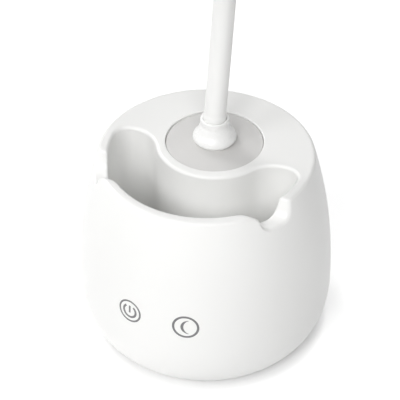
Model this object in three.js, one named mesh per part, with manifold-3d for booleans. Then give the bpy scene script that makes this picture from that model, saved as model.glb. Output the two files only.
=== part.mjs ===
// A desk lamp whose barrel base is also a pen holder. The deck has a crescent pocket for pens, a round
// night light at the foot of the gooseneck and two notches in its rim that hold a phone upright.
// Millimetres, +Z up, front towards -Y, origin on the table under the middle of the barrel.
import * as THREE from "three";
import { mergeVertices } from "three/addons/utils/BufferGeometryUtils.js";
import Module from "manifold-3d";

const wasm = await Module();
wasm.setup();

const { PI, sin, cos, sqrt, acos, atan, atan2, max, min } = Math;
const degree = PI / 180;

// Shared by all pieces
const gap = 0.3; // left between pieces that seat on each other
const overrun = 6; // how far a cutter runs past what it cuts

// The barrel of the base: its outline is widest at the belly and turns under to a round foot
const barrel = {
  height: 104.4,
  bellyRadius: 64,
  bellyHeight: 27.3,
  deckTuck: 10.5, // how far the side has come in where it meets the rounded edge of the deck
  deckEdge: 1.5, // height of that rounded edge
  footTuck: 15.7, // how far it would have come in at the table
  footClear: 1, // the moulding ends this far above the table
  wall: 2.6,
  deck: 3.2,
};
const sidePowerShare = 2.16; // how late the side starts to lean in above the belly
const deckRadius = barrel.bellyRadius - barrel.deckTuck;
const footRadius = barrel.bellyRadius - barrel.footTuck;

// Night light: a domed disc of translucent plastic round the foot of the gooseneck
const nightLight = {
  setBack: 10.7, // of its centre, behind the axis of the barrel
  radius: 23.8,
  edgeGap: 0.4,
  sink: 0.8, // of its rim below the deck
  rise: 2.4, // of its dome above its rim
  thickness: 2,
  cupRadius: 22, // the white cup under it, which holds the board
  cupDepth: 11.5, // floor of the cup below the deck
  cupFloor: 2,
  boardInner: 8.2,
  boardGap: 1.2, // round the board, inside the cup
  boardThickness: 1.6,
  ledSize: 3,
  ledHeight: 0.9,
};
const nightLeds = 8;

// Pen pocket: an arc inside the rim, an arc round the night light, and at each end a corner and a
// flatter shoulder between the two
const pocket = {
  rim: 5.6, // width of the deck outside the pocket
  ring: 5, // width of the deck between pocket and night light
  floor: 26, // above the table
  wall: 2.2,
  lip: 1.7, // radius of its rounded rim
  corner: 7,
};
const cornerAngle = 86 * degree; // of the corners from the front
const cornerSweep = 84.1 * degree; // of each corner's arc, up to the flatter one

// Notches in the rim for a phone, cut from side to side
const notch = {
  reach: 29.7, // from the front of the pocket back to the wall that the phone leans on
  width: 15.7,
  depth: 9.2,
  frontCorner: 3.8,
  backCorner: 6,
  frontCrest: 4.5,
  backCrest: 2,
  lip: 1.6,
  wall: 2.6, // of the moulding round it
};
const notchLean = 20 * degree; // of its back wall, away from the phone's screen

// Closing plate, pad, weight and the screws that hold them
const cover = {
  edgeGap: 0.5, // to the moulding round it
  thickness: 4,
  padRecess: 0.5,
  ringWidth: 1.6,
  ringHeight: 3,
  ringInset: 1.2,
};
const pad = { inset: 4, thickness: 1.2 };
const weight = { thickness: 7, boardGap: 8 };
const screw = { inset: 8, shank: 1.3, head: 2.6, headHeight: 1.4, length: 10, hole: 1.6, sink: 2 };
const post = { radius: 3.5, rearHeight: 34, ribWidth: 2, ribRise: 8 };
const postAngles = [40, 130, -130, -40].map((a) => a * degree);

// Electronics in the base
const board = {
  width: 34,
  depth: 24.9,
  wallGap: 1.5, // between its rear corners and the moulding
  cellGap: 9.3, // between it and the battery's cradle
  thickness: 1.6,
  standHeight: 8.7, // of its stand-offs above the closing plate
  standRadius: 3,
  standSpread: 12,
  standInset: 4.5,
  chip: 7,
  chipInset: 1.5,
  chipHeight: 1.4,
};
const boardScrew = { shank: 1, head: 2.1, headHeight: 1.2, length: 5, hole: 1.3 };
const socket = { width: 9, height: 3.3, length: 7.6, skin: 0.35, tongue: 0.7, plate: 1, wallGap: 0.9 };
const cell = { radius: 9.15, headroom: 3.8, cap: 1.2, capRadius: 3.4 };
const cradle = { wall: 1.7, height: 28, floor: 1.5 };
const touch = { height: 47.5, radius: 7.6, thickness: 0.8 };
const touchAngle = 13.4 * degree; // of each touch spot from the front

// Gooseneck: equal links, each a ball below and a bowl above, so that they nest on common centres
const neck = {
  radius: 5.4,
  linkLength: 38, // from centre to centre
  bowlRim: 3, // of a bowl, below its centre
  stubRadius: 4, // threaded end below the collar and in the head
};
// Lean of the neck at each centre, from upright towards the front
const neckLeans = [-11, -10.5, -9, -3.5, 8, 28, 52, 76, 96].map((a) => a * degree);

// The bell-shaped collar at each end of the neck, and what clamps it
const collar = {
  flangeRadius: 10.8,
  headFlangeRadius: 8.9,
  ringRadius: 7.05,
  ringHeight: 3.4,
  ringEdge: 0.9, // radius of its rounded rim
  height: 12.2,
  mouthGap: 0.6, // round the neck in the mouth of the ring
};
// Its skirt between foot and ring: shares of the way out from the ring, and up from the foot
const skirtShares = [
  [0.75, 0],
  [0.93, 0.05],
  [1, 0.14],
  [0.95, 0.23],
  [0.72, 0.34],
  [0.42, 0.47],
  [0.2, 0.62],
  [0.08, 0.8],
  [0, 1],
];
const clampFlange = { radius: 6.8, thickness: 2 };
const nut = { across: 11, thickness: 4.6, spare: 1.6 };

// Lamp head, in a frame at the last centre of the neck, with the neck coming from +Y
const head = {
  radius: 46,
  top: 9.2,
  waistDrop: 2.5, // from its middle down to its widest ring
  rimDrop: 9.2, // and down to its rim
  mouthRadius: 44.6,
  wall: 2,
  stem: 3.2, // between the collar and the edge of the dome
  fairing: 26, // length of the swelling that runs from the collar into the dome
  seat: 1.5, // depth of the diffuser's ledge inside the wall
  seatHeight: 1.7,
  lensThickness: 2.1,
  lensInset: 0.4,
  board: 33.5,
  boardHeight: 0,
  boardThickness: 1.6,
  postCircle: 27,
  postRadius: 2.8,
};
const headPowerShare = 2.6; // squareness of the dome's outline
const headLeds = 12;
const ledCircleShare = 0.62; // of the board's radius

const facets = { barrel: 64, round: 40, head: 52, collar: 28, neck: 16, small: 16, tiny: 10 };

const colours = {
  shell: [0xf3f3f1, 0.38, 0],
  diffuser: [0xb9babb, 0.45, 0],
  lens: [0xf7f5ee, 0.5, 0],
  sleeve: [0xf0f0ee, 0.5, 0],
  collar: [0xf6f6f4, 0.3, 0],
  rubber: [0x3a3b3d, 0.85, 0],
  steel: [0x9a9da1, 0.35, 1],
  cast: [0x55585c, 0.7, 0.6],
  board: [0x1f5a3a, 0.55, 0],
  whiteBoard: [0xe9e9e4, 0.55, 0],
  cellSkin: [0x2f6fb0, 0.4, 0],
  nylon: [0x2a2b2d, 0.6, 0],
  copper: [0xb87345, 0.4, 1],
};

// A closed geometry as a solid, turned outwards if its faces point in
function asSolid(geometry) {
  const bare = geometry.index ? geometry.toNonIndexed() : geometry.clone();
  bare.deleteAttribute("normal");
  bare.deleteAttribute("uv");
  const merged = mergeVertices(bare, 1e-4);
  const triangles = [];
  const index = merged.index.array;
  for (let i = 0; i < index.length; i += 3) {
    const [a, b, c] = [index[i], index[i + 1], index[i + 2]];
    if (a !== b && b !== c && c !== a) triangles.push([a, b, c]);
  }
  const build = (list) =>
    new wasm.Manifold(
      new wasm.Mesh({
        numProp: 3,
        vertProperties: merged.attributes.position.array,
        triVerts: new Uint32Array(list.flat()),
      }),
    );
  const made = build(triangles);
  return made.volume() < 0 ? build(triangles.map(([a, b, c]) => [a, c, b])) : made;
}

function asGeometry(solid) {
  const { vertProperties, triVerts } = solid.getMesh();
  const geometry = new THREE.BufferGeometry();
  geometry.setAttribute("position", new THREE.BufferAttribute(new Float32Array(vertProperties), 3));
  geometry.setIndex(new THREE.BufferAttribute(new Uint32Array(triVerts), 1));
  geometry.computeVertexNormals();
  return geometry;
}

const join = (...solids) => solids.reduce((all, one) => all.add(one));
const cut = (solid, ...cutters) => cutters.reduce((rest, one) => rest.subtract(one), solid);
const at = (geometry, x, y, z) => geometry.translate(x, y, z);
const point = (x, y) => new THREE.Vector2(x, y);

// A profile of radius and height, turned about +Z
function turned(profile, segments) {
  const points = profile.map(([radius, height]) => point(radius, height));
  return new THREE.LatheGeometry(points, segments).rotateX(PI / 2);
}

// The same for a closed ring of profile, which never reaches the axis
const turnedRing = (profile, segments) => turned([...profile, profile[0]], segments);

function rod(radius, low, high, segments) {
  const upright = new THREE.CylinderGeometry(radius, radius, high - low, segments).rotateX(PI / 2);
  return at(upright, 0, 0, (low + high) / 2);
}

// The same rod as a solid, upright at x and y
const pin = (radius, low, high, segments, x = 0, y = 0) =>
  asSolid(at(rod(radius, low, high, segments), x, y, 0));

// An outline in X and Y, drawn up from low to high
function raised(outline, low, high, holes = []) {
  const shape = new THREE.Shape(outline);
  shape.holes = holes.map((hole) => new THREE.Path(hole));
  return at(new THREE.ExtrudeGeometry(shape, { depth: high - low, bevelEnabled: false }), 0, 0, low);
}

const block = (width, depth, low, high) =>
  at(new THREE.BoxGeometry(width, depth, high - low), 0, 0, (low + high) / 2);

// Points of an arc, its angles counted from the front towards +X
function arc(centre, radius, from, to, steps) {
  return Array.from({ length: steps + 1 }, (_, k) => {
    const angle = from + ((to - from) * k) / steps;
    return point(centre.x + radius * sin(angle), centre.y - radius * cos(angle));
  });
}

const circle = (radius, segments) =>
  arc(point(0, 0), radius, 0, 2 * PI * (1 - 1 / segments), segments - 1);

// Rings of matching points joined into one closed skin; flat gives their order in a plane for the caps
function lofted(rings, flat) {
  const count = flat.length;
  const positions = rings.flat().flatMap((p) => [p.x, p.y, p.z]);
  const index = [];
  for (let r = 0; r + 1 < rings.length; r++)
    for (let k = 0; k < count; k++) {
      const a = r * count + k;
      const b = r * count + ((k + 1) % count);
      index.push(a, b, b + count, a, b + count, a + count);
    }
  const last = (rings.length - 1) * count;
  for (const [a, b, c] of THREE.ShapeUtils.triangulateShape(flat, []))
    index.push(a, c, b, last + a, last + b, last + c);
  const geometry = new THREE.BufferGeometry();
  geometry.setAttribute("position", new THREE.Float32BufferAttribute(positions, 3));
  return geometry.setIndex(index);
}

// Steps of a rounded lip: how far inside the face, and how far the opening has widened there
function lipSteps(radius, steps) {
  return Array.from({ length: steps + 1 }, (_, k) => {
    const angle = (PI / 2) * (k / steps);
    return { inside: radius * (1 - sin(angle)), wider: radius * (1 - cos(angle)) };
  });
}

// Outline of the barrel
function sideRadius(z) {
  const { height, deckEdge, bellyRadius, bellyHeight } = barrel;
  if (z > bellyHeight) {
    const climb = (z - bellyHeight) / (height - deckEdge - bellyHeight);
    return bellyRadius - (bellyRadius - deckRadius) * climb ** sidePowerShare;
  }
  const drop = (bellyHeight - z) / bellyHeight;
  return footRadius + (bellyRadius - footRadius) * sqrt(max(0, 1 - drop ** 2));
}

function barrelOutline(footSteps, sideSteps, edgeSteps) {
  const { height, deckEdge, bellyRadius, bellyHeight, footClear } = barrel;
  const profile = [];
  const start = acos((bellyHeight - footClear) / bellyHeight);
  for (let k = 0; k < footSteps; k++) {
    const z = bellyHeight * (1 - cos(start + (PI / 2 - start) * (k / footSteps)));
    profile.push([sideRadius(z), z]);
  }
  const shoulder = height - deckEdge;
  for (let k = 0; k < sideSteps; k++) {
    const z = bellyHeight + (shoulder - bellyHeight) * (k / sideSteps);
    profile.push([sideRadius(z), z]);
  }
  const lean = atan((sidePowerShare * (bellyRadius - deckRadius)) / (shoulder - bellyHeight));
  const edge = deckEdge / (1 - sin(lean));
  for (let k = 0; k <= edgeSteps; k++) {
    const angle = lean + (PI / 2 - lean) * (k / edgeSteps);
    profile.push([deckRadius + edge * (cos(angle) - cos(lean)), height - edge * (1 - sin(angle))]);
  }
  return profile;
}

const nightCentre = point(0, nightLight.setBack);
const nightOpening = nightLight.radius + nightLight.edgeGap;
const pocketRadius = deckRadius - pocket.rim;
const bossRadius = nightOpening + pocket.ring;

// Direction from one point to another, counted as in arc
function bearing(from, to) {
  const angle = atan2(to.x - from.x, from.y - to.y);
  return angle < 0 ? angle + 2 * PI : angle;
}

// Arcs at the pocket's right end: the shoulder goes on from the corner's end and touches the boss
const pocketEnd = (() => {
  const reach = pocketRadius - pocket.corner;
  const corner = point(reach * sin(cornerAngle), -reach * cos(cornerAngle));
  const turn = cornerAngle + cornerSweep;
  const way = point(sin(turn), -cos(turn));
  const end = corner.clone().addScaledVector(way, pocket.corner).sub(nightCentre);
  const radius = (end.lengthSq() - bossRadius ** 2) / (2 * (bossRadius + end.dot(way)));
  const shoulder = corner.clone().addScaledVector(way, pocket.corner - radius);
  return { corner, turn, shoulder, radius };
})();

// The pocket's outline from above, widened all round by grow
function pocketOutline(grow) {
  const { corner, turn, shoulder, radius } = pocketEnd;
  const leave = bearing(shoulder, nightCentre);
  const front = arc(point(0, 0), pocketRadius + grow, -cornerAngle, cornerAngle, 28);
  const bend = arc(corner, pocket.corner + grow, cornerAngle, turn, 6).slice(1);
  const flatter = arc(shoulder, radius + grow, turn, leave, 7).slice(1);
  const inner = arc(nightCentre, bossRadius - grow, leave - PI, PI - leave, 13).slice(1);
  const right = [...bend, ...flatter];
  const left = right.slice(0, -1).map((p) => point(-p.x, p.y)).reverse();
  return [...front, ...right, ...inner, ...left];
}

const notchBack = pocketRadius - notch.reach; // of that wall ahead of the axis, at the deck

// A notch's outline across the rim in Y and Z, widened by grow; the crests keep their centres
function notchOutline(grow) {
  const { width, depth, frontCorner, backCorner, frontCrest, backCrest } = notch;
  const top = barrel.height;
  const fore = -notchBack - width;
  // The centre of an arc of this height that touches the leaning wall, on its near or far side
  const beside = (away, z) => {
    const rise = (z - top + away * sin(notchLean)) / cos(notchLean);
    return [rise * sin(notchLean) - notchBack + away * cos(notchLean), z];
  };
  const round = (y, z, radius, from, to, steps) =>
    Array.from({ length: steps + 1 }, (_, k) => {
      const angle = from + ((to - from) * k) / steps;
      return point(y + radius * cos(angle), z + radius * sin(angle));
    });
  const floor = top - depth;
  const hollow = beside(-backCorner, floor + backCorner);
  const crest = beside(backCrest, top - backCrest);
  return [
    point(fore - frontCrest, top + overrun),
    ...round(fore - frontCrest, top - frontCrest, frontCrest - grow, PI / 2, 0, 4),
    ...round(fore + frontCorner, floor + frontCorner, frontCorner + grow, PI, 1.5 * PI, 4),
    ...round(...hollow, backCorner + grow, 1.5 * PI, 2 * PI - notchLean, 4),
    ...round(...crest, backCrest - grow, PI - notchLean, PI / 2, 3),
    point(crest[0], top + overrun),
  ];
}

// The cutter of a notch: the outline repeated on round skins from inside the pocket to outside the
// barrel, wider near both faces so that their lips come out rounded
function notchCutter(side) {
  const skins = [];
  const lips = lipSteps(notch.lip, 2);
  skins.push({ wider: notch.lip, radius: () => pocketRadius - overrun });
  for (const { inside, wider } of [...lips].reverse())
    skins.push({ wider, radius: () => pocketRadius + inside });
  for (const { inside, wider } of lips) skins.push({ wider, radius: (z) => sideRadius(z) - inside });
  skins.push({ wider: notch.lip, radius: (z) => sideRadius(z) + overrun });
  const rings = skins.map(({ wider, radius }) =>
    notchOutline(wider).map((p) => {
      const r = radius(min(p.y, barrel.height));
      return new THREE.Vector3(side * sqrt(max(0, r ** 2 - p.x ** 2)), p.x, p.y);
    }),
  );
  return asSolid(lofted(rings, notchOutline(0)));
}

function pocketCutter() {
  const rings = [];
  const ring = (z, grow) => rings.push(pocketOutline(grow).map((p) => new THREE.Vector3(p.x, p.y, z)));
  ring(pocket.floor, 0);
  for (const { inside, wider } of lipSteps(pocket.lip, 3)) ring(barrel.height - inside, wider);
  ring(barrel.height + overrun, pocket.lip);
  return asSolid(lofted(rings, pocketOutline(0)));
}

// Heights that several pieces share
const plateTop = barrel.footClear + cover.thickness;
const padSeat = barrel.footClear + cover.padRecess;
const cupTop = barrel.height - nightLight.cupDepth;
const cupUnder = cupTop - nightLight.cupFloor;
const rimTop = barrel.height - nightLight.sink;
const boardTop = plateTop + board.standHeight + gap + board.thickness;
const coverRadius = sideRadius(barrel.footClear) - barrel.wall - cover.edgeGap;
const domeHeight = (r) => rimTop + nightLight.rise * (1 - (r / nightLight.radius) ** 2);
const collarFoot = domeHeight(neck.radius + gap) + gap;
const neckFoot = collarFoot + collar.height + gap;

const padRadius = coverRadius - pad.inset;
const screwCircle = coverRadius - screw.inset;
const postPlaces = postAngles.map((a) => point(screwCircle * sin(a), -screwCircle * cos(a)));
const boardLimit = sideRadius(boardTop - board.thickness) - barrel.wall;
const boardBack = sqrt(boardLimit ** 2 - (board.width / 2) ** 2) - board.wallGap;
const boardFront = boardBack - board.depth;
const cradleRadius = cell.radius + gap + cradle.wall;
const cellSetBack = boardFront - board.cellGap - cradleRadius;
const rootEnd = cupUnder - gap - nut.thickness - nut.spare;

function baseShell() {
  const top = barrel.height;
  const outline = barrelOutline(7, 8, 3);
  const outer = asSolid(turned([[0, barrel.footClear], ...outline, [0, top]], facets.barrel));
  const roof = top - barrel.deck;
  const hollow = barrelOutline(4, 5, 1)
    .filter(([, z]) => z < roof)
    .map(([r, z]) => [r - barrel.wall, z]);
  const mouth = [hollow[0][0], barrel.footClear - overrun];
  const ceiling = [sideRadius(roof) - barrel.wall, roof];
  const cavity = asSolid(turned([[0, mouth[1]], mouth, ...hollow, ceiling, [0, roof]], facets.barrel));

  const well = asSolid(raised(pocketOutline(pocket.wall), pocket.floor - pocket.wall, top - barrel.deck / 2));
  const cupOuter = bossRadius - pocket.wall / 2;
  const cup = pin(cupOuter, cupUnder, top - barrel.deck / 2, facets.round, 0, nightCentre.y);
  const ledge = rimTop - nightLight.thickness - gap;
  const cupHollow = pin(nightLight.cupRadius, cupTop, top + overrun, facets.round, 0, nightCentre.y);
  const opening = pin(nightOpening, ledge, top + overrun, facets.round, 0, nightCentre.y);
  const stubHole = neck.stubRadius + gap;
  const stubWay = pin(stubHole, cupUnder - overrun, cupTop + overrun, facets.neck, 0, nightCentre.y);

  let posts = [];
  for (const [k, place] of postPlaces.entries()) {
    const rear = place.y > 0;
    const high = rear ? plateTop + post.rearHeight : pocket.floor - pocket.wall / 2;
    posts.push(pin(post.radius, plateTop + gap, high, facets.tiny, place.x, place.y));
    if (!rear) continue;
    const reach = barrel.bellyRadius - screwCircle;
    const rib = block(post.ribWidth, reach, plateTop + post.ribRise, high);
    const turn = postAngles[k];
    posts.push(asSolid(at(rib, 0, -screwCircle - reach / 2, 0).rotateZ(turn)));
  }
  const holes = postPlaces.map((place) =>
    pin(screw.hole, plateTop - overrun, plateTop + screw.length, facets.tiny, place.x, place.y),
  );

  const portHeight = boardTop + gap + socket.height / 2;
  const portWidth = socket.width + 2 * gap;
  const portRise = socket.height + 2 * gap;
  const port = slotBar(portWidth, portRise, boardBack, barrel.bellyRadius + overrun, portHeight);

  const { width, depth, wall } = notch;
  const saddleLow = top - depth - wall;
  const saddle = block(2 * barrel.bellyRadius, width + 2 * wall, saddleLow, top - barrel.deck / 2);
  const saddles = asSolid(at(saddle, 0, -notchBack - width / 2, 0));

  const ribs = join(...posts, cut(saddles, pin(pocketRadius, 0, top, facets.round))).intersect(outer);
  const body = join(cut(outer, cavity), well, cup, ribs);
  const notches = [notchCutter(1), notchCutter(-1)];
  return cut(body, pocketCutter(), opening, cupHollow, stubWay, ...notches, asSolid(port), ...holes);
}

// A bar with round sides along Y, wide in X
function slotBar(width, height, near, far, z) {
  const r = height / 2;
  const side = width / 2 - r;
  const outline = [...arc(point(side, 0), r, 0, PI, 6), ...arc(point(-side, 0), r, PI, 2 * PI, 6)];
  return at(raised(outline, near, far).rotateX(PI / 2).rotateZ(PI), 0, 0, z);
}

function bottomCover() {
  const { ringWidth, ringHeight, ringInset } = cover;
  const low = barrel.footClear;
  const outer = coverRadius;
  const ringOuter = outer - ringInset;
  const recess = padRadius + gap;
  const profile = [
    [0, padSeat],
    [recess, padSeat],
    [recess, low],
    [outer, low],
    [outer, plateTop],
    [ringOuter, plateTop],
    [ringOuter, plateTop + ringHeight],
    [ringOuter - ringWidth, plateTop + ringHeight],
    [ringOuter - ringWidth, plateTop],
    [0, plateTop],
  ];
  const plate = asSolid(turned(profile, facets.round));
  const stands = standPlaces.map(([x, y]) =>
    pin(board.standRadius, plateTop - gap, plateTop + board.standHeight, facets.tiny, x, y),
  );
  const pilots = standPlaces.map(([x, y]) =>
    pin(boardScrew.hole, plateTop, plateTop + board.standHeight + overrun, facets.tiny, x, y),
  );
  const clear = postPlaces.map((p) =>
    pin(post.radius + gap, plateTop, plateTop + ringHeight + overrun, facets.small, p.x, p.y),
  );
  const sinks = postPlaces.map((p) =>
    pin(screw.head + gap, padSeat - overrun, padSeat + screw.sink, facets.small, p.x, p.y),
  );
  const ways = postPlaces.map((p) =>
    pin(screw.hole, padSeat - overrun, plateTop + overrun, facets.tiny, p.x, p.y),
  );
  return cut(join(plate, ...stands), ...pilots, ...clear, ...sinks, ...ways);
}

const standPlaces = [
  [-board.standSpread, boardFront + board.standInset],
  [board.standSpread, boardFront + board.standInset],
  [0, boardBack - board.standInset - socket.length],
];

const antiSlipPad = () => pin(padRadius, 0, pad.thickness, facets.round);

function ballastPlate() {
  const radius = screwCircle - post.radius - 2 * gap;
  const low = plateTop + gap;
  const high = low + weight.thickness;
  const behind = block(2 * radius + overrun, radius, low - overrun, high + overrun);
  const flat = boardFront - weight.boardGap;
  return cut(pin(radius, low, high, facets.round), asSolid(at(behind, 0, flat + radius / 2, 0)));
}

// A pan-head screw that points up, its head from low
function screwSolid({ shank, head: headRadius, headHeight, length }, low) {
  const profile = [
    [0, low],
    [headRadius, low],
    [headRadius, low + headHeight],
    [shank, low + headHeight],
    [shank, low + headHeight + length],
    [0, low + headHeight + length],
  ];
  return turned(profile, facets.tiny);
}

function mainBoard() {
  const low = boardTop - board.thickness;
  const middle = (boardBack + boardFront) / 2;
  const plate = asSolid(at(block(board.width, board.depth, low, boardTop), 0, middle, 0));
  const chipAt = boardFront + board.chipInset + board.chip / 2;
  const chip = asSolid(at(block(board.chip, board.chip, low, boardTop + board.chipHeight), 0, chipAt, 0));
  const ways = standPlaces.map(([x, y]) =>
    pin(boardScrew.hole, low - overrun, boardTop + overrun, facets.tiny, x, y),
  );
  return cut(join(plate, chip), ...ways);
}

// The charging inlet: a thin metal mouth with a tongue in it, closed behind
function chargingSocket() {
  const { width, height, length, skin, tongue, plate, wallGap } = socket;
  const z = boardTop + gap + height / 2;
  const far = sqrt(sideRadius(z) ** 2 - (width / 2) ** 2) - wallGap;
  const near = far - length;
  const body = asSolid(slotBar(width, height, near, far, z));
  const inner = asSolid(slotBar(width - 2 * skin, height - 2 * skin, near + plate, far + overrun, z));
  const bladeLength = length - plate;
  const blade = block(width - height, bladeLength, z - tongue / 2, z + tongue / 2);
  return join(cut(body, inner), asSolid(at(blade, 0, near + skin + bladeLength / 2, 0)));
}

function batteryCradle() {
  const low = plateTop + gap + weight.thickness + gap;
  const inner = cell.radius + gap;
  const cup = pin(cradleRadius, low, low + cradle.height, facets.small);
  const room = pin(inner, low + cradle.floor, low + cradle.height + overrun, facets.small);
  return cut(cup, room);
}

function batteryCell() {
  const low = plateTop + weight.thickness + cradle.floor + 3 * gap;
  const high = rootEnd - cell.headroom;
  const profile = [
    [0, low],
    [cell.radius - gap, low],
    [cell.radius - gap, high - cell.cap],
    [cell.capRadius, high - cell.cap],
    [cell.capRadius, high],
    [0, high],
  ];
  return asSolid(turned(profile, facets.small));
}

// A copper pad that follows the inner face of the front wall
function touchPad(angle) {
  const low = touch.height - touch.radius - overrun;
  const steps = 5;
  const rise = (2 * (touch.radius + overrun)) / steps;
  const heights = Array.from({ length: steps + 1 }, (_, k) => low + rise * k);
  const face = heights.map((z) => [sideRadius(z) - barrel.wall - gap, z]);
  const rear = [...face].reverse().map(([r, z]) => [r - touch.thickness, z]);
  const skin = asSolid(turnedRing([...face, ...rear], facets.barrel));
  const punch = rod(touch.radius, pocketRadius, barrel.bellyRadius + overrun, facets.small).rotateX(PI / 2);
  return skin.intersect(asSolid(at(punch, 0, 0, touch.height).rotateZ(angle)));
}

function nightDiffuser() {
  const { radius, thickness } = nightLight;
  const hole = neck.radius + gap;
  const dome = (steps) =>
    Array.from({ length: steps + 1 }, (_, k) => {
      const r = hole + ((radius - hole) * k) / steps;
      return [r, domeHeight(r)];
    });
  const top = dome(7);
  const under = dome(3)
    .reverse()
    .map(([r, z]) => [r, z - thickness]);
  return asSolid(turnedRing([...top, ...under], facets.round));
}

function leds(count, ringRadius, from, to, size) {
  return Array.from({ length: count }, (_, k) =>
    asSolid(at(block(size, size, from, to), ringRadius, 0, 0).rotateZ((2 * PI * k) / count)),
  );
}

function nightBoard() {
  const { boardInner, boardGap, boardThickness, cupRadius, ledSize, ledHeight } = nightLight;
  const low = cupTop + gap;
  const high = low + boardThickness;
  const outer = cupRadius - boardGap;
  const ring = [
    [boardInner, low],
    [outer, low],
    [outer, high],
    [boardInner, high],
  ];
  const plate = asSolid(turnedRing(ring, facets.round));
  return join(plate, ...leds(nightLeds, (boardInner + outer) / 2, high - gap, high + ledHeight, ledSize));
}

// The collar's outline from its foot up, where sign tells the way up: a skirt, then a plain ring
function collarProfile(foot, sign, flangeRadius) {
  const { ringRadius, ringHeight, ringEdge, height, mouthGap } = collar;
  const bore = neck.radius + gap;
  const mouth = neck.radius + mouthGap;
  const skirt = skirtShares.map(([out, up]) => [
    ringRadius + (flangeRadius - ringRadius) * out,
    (height - ringHeight) * up,
  ]);
  const outline = [
    [bore, 0],
    ...skirt,
    ...lipSteps(ringEdge, 3).map(({ inside, wider }) => [ringRadius - wider, height - inside]),
    [mouth, height],
    [mouth, height - neck.bowlRim],
    [bore, height - neck.bowlRim - gap],
  ];
  return outline.map(([r, z]) => [r, foot + sign * z]);
}

function neckCollar() {
  const profile = collarProfile(collarFoot, 1, collar.flangeRadius);
  return asSolid(turnedRing(profile, facets.collar));
}

// The neck's steel foot: a bowl for the first link, a clamped flange and a threaded end
function neckRoot() {
  const flangeLow = cupTop + gap;
  const flangeHigh = flangeLow + clampFlange.thickness;
  const profile = [
    [0, rootEnd],
    [neck.stubRadius, rootEnd],
    [neck.stubRadius, flangeLow],
    [clampFlange.radius, flangeLow],
    [clampFlange.radius, flangeHigh],
    [neck.radius, flangeHigh],
    [neck.radius, neckFoot - neck.bowlRim],
    [0, neckFoot - neck.bowlRim],
  ];
  const bowl = new THREE.SphereGeometry(neck.radius + gap, facets.neck, facets.neck / 2);
  return cut(asSolid(turned(profile, facets.neck)), asSolid(at(bowl.rotateX(PI / 2), 0, 0, neckFoot)));
}

const hexagon = (across) => circle(across / 2 / cos(PI / 6), 6);

function nutSolid(low) {
  return raised(hexagon(nut.across), low, low + nut.thickness, [circle(neck.stubRadius + gap, facets.small)]);
}

// Centre and lean of each joint of the neck, worked out along its arcs
const neckCentres = [{ y: nightCentre.y, z: neckFoot, lean: neckLeans[0] }];
for (const lean of neckLeans.slice(1)) {
  const from = neckCentres.at(-1);
  const bend = lean - from.lean;
  const chord = bend ? (2 * neck.linkLength * sin(bend / 2)) / bend : neck.linkLength;
  const middle = from.lean + bend / 2;
  neckCentres.push({ y: from.y - chord * sin(middle), z: from.z + chord * cos(middle), lean });
}

// The arc of one link in the plane X = 0, which stops short of the next centre by the bowl's rim
class LinkArc extends THREE.Curve {
  constructor(from, bend, length) {
    super();
    Object.assign(this, { from, bend, length });
  }
  getPoint(t) {
    const { from, bend, length } = this;
    const run = length * t;
    const turn = (bend * run) / neck.linkLength;
    const chord = turn ? (2 * run * sin(turn / 2)) / turn : run;
    const middle = from.lean + turn / 2;
    return new THREE.Vector3(0, from.y - chord * sin(middle), from.z + chord * cos(middle));
  }
}

const ball = (radius) => new THREE.SphereGeometry(radius, facets.neck, facets.neck / 2).rotateX(PI / 2);

function neckLink(k) {
  const from = neckCentres[k];
  const to = neckCentres[k + 1];
  const bend = to.lean - from.lean;
  const path = new LinkArc(from, bend, neck.linkLength - neck.bowlRim);
  const section = new THREE.Shape(circle(neck.radius, facets.neck));
  const steps = bend ? 5 : 1;
  const tube = new THREE.ExtrudeGeometry(section, { steps, bevelEnabled: false, extrudePath: path });
  const turnedBall = ball(neck.radius).rotateX(from.lean);
  const bowl = ball(neck.radius + gap).rotateX(to.lean);
  return cut(
    join(asSolid(tube), asSolid(at(turnedBall, 0, from.y, from.z))),
    asSolid(at(bowl, 0, to.y, to.z)),
  );
}

// Lamp head. Its dome is a rounded pebble outline over a short turned-in wall
function domeOutline(inset, steps) {
  const { radius, top, waistDrop } = head;
  return Array.from({ length: steps + 1 }, (_, k) => {
    const angle = (PI / 2) * (k / steps);
    const power = 2 / headPowerShare;
    return [
      (radius - inset) * cos(angle) ** power,
      (top - inset + waistDrop) * sin(angle) ** power - waistDrop,
    ];
  });
}

const collarEnd = -gap - collar.height; // of the head's collar, from the last centre
const headReach = head.radius + head.stem + gap - collarEnd;
const headAxis = -headReach;
const headPosts = [90, 210, 330].map((a) => a * degree);
const headPostPlace = (a) => [head.postCircle * sin(a), headAxis - head.postCircle * cos(a)];

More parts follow.
